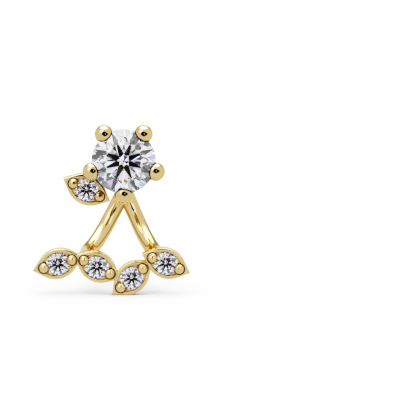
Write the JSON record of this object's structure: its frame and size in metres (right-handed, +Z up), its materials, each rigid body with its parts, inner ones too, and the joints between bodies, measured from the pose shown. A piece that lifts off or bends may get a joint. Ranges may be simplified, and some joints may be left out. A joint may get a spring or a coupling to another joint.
{
  "type": "ear jacket earring",
  "caption": "Round brilliant stud with ball prongs and a leaf beside it, and a jacket behind the lobe whose curved arms carry a row of marquise leaves set with brilliants.",
  "frame": {"origin": "middle of the ear lobe on the ear post's axis, where the earring sits in the piercing", "axes": "+Z up as worn, -Y the front that the main stone faces, +Y along the post to its free end behind the lobe, +X to the viewer's right"},
  "size_m": [0.0122, 0.013, 0.0134],
  "materials": {
    "gold": null,
    "diamond": "clear faceted diamond"
  },
  "bodies": {
    "stud": {"stud_setting": "gold", "centre_stone": "diamond", "stud_leaf_stone": "diamond", "ear_back": "gold"},
    "jacket": {"jacket_frame": "gold", "jacket_stone_1": "diamond", "jacket_stone_2": "diamond", "jacket_stone_3": "diamond", "jacket_stone_4": "diamond"}
  },
  "joints": [
    {"name": "jacket_swivel", "type": "hinge", "parent": "stud", "child": "jacket", "pos_m": [0, 0.00295, 0], "axis": [0, 1, 0], "continuous": true}
  ]
}
